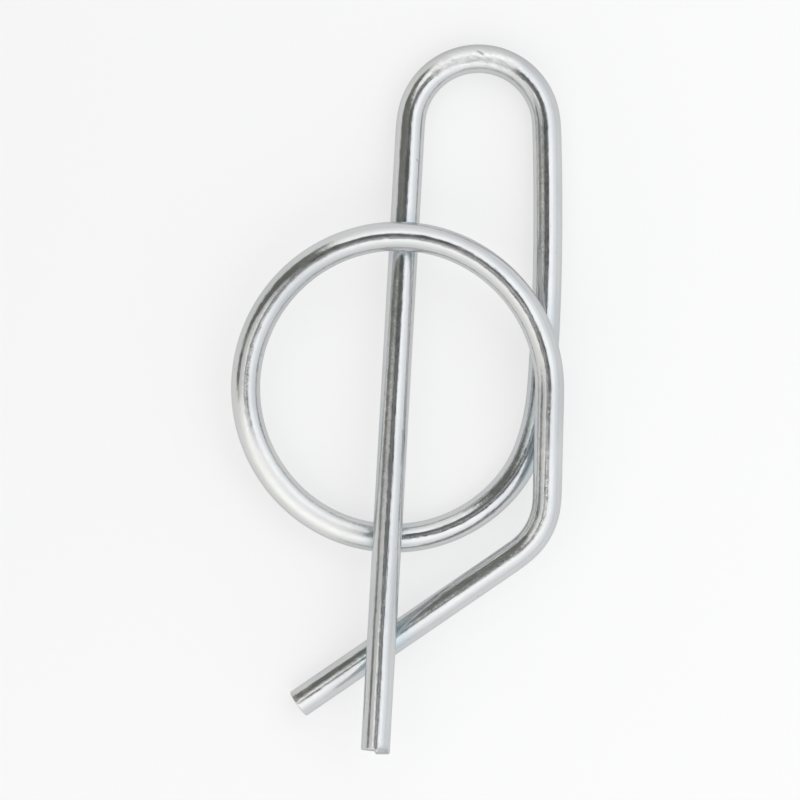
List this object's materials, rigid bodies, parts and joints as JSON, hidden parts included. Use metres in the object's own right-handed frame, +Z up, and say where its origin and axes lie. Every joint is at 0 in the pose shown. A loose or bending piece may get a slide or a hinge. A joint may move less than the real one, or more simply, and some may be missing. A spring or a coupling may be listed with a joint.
{
  "type": "ring cotter pin",
  "caption": "Ring cotter pin of bent spring wire, with a straight leg, a U-bend, a locking ring and a turned-back tail.",
  "frame": {"origin": "under the ring's centre, on the plane that the pin lies on", "axes": "+X across the ring towards the limb's side, +Y from the ring towards the U-bend, +Z up off the plane"},
  "size_m": [0.0364, 0.0776, 0.009],
  "materials": {
    "zinc_plated_wire": "bright zinc plated, glossy"
  },
  "bodies": {
    "root": {"ring_cotter_pin": "zinc_plated_wire"}
  },
  "joints": []
}
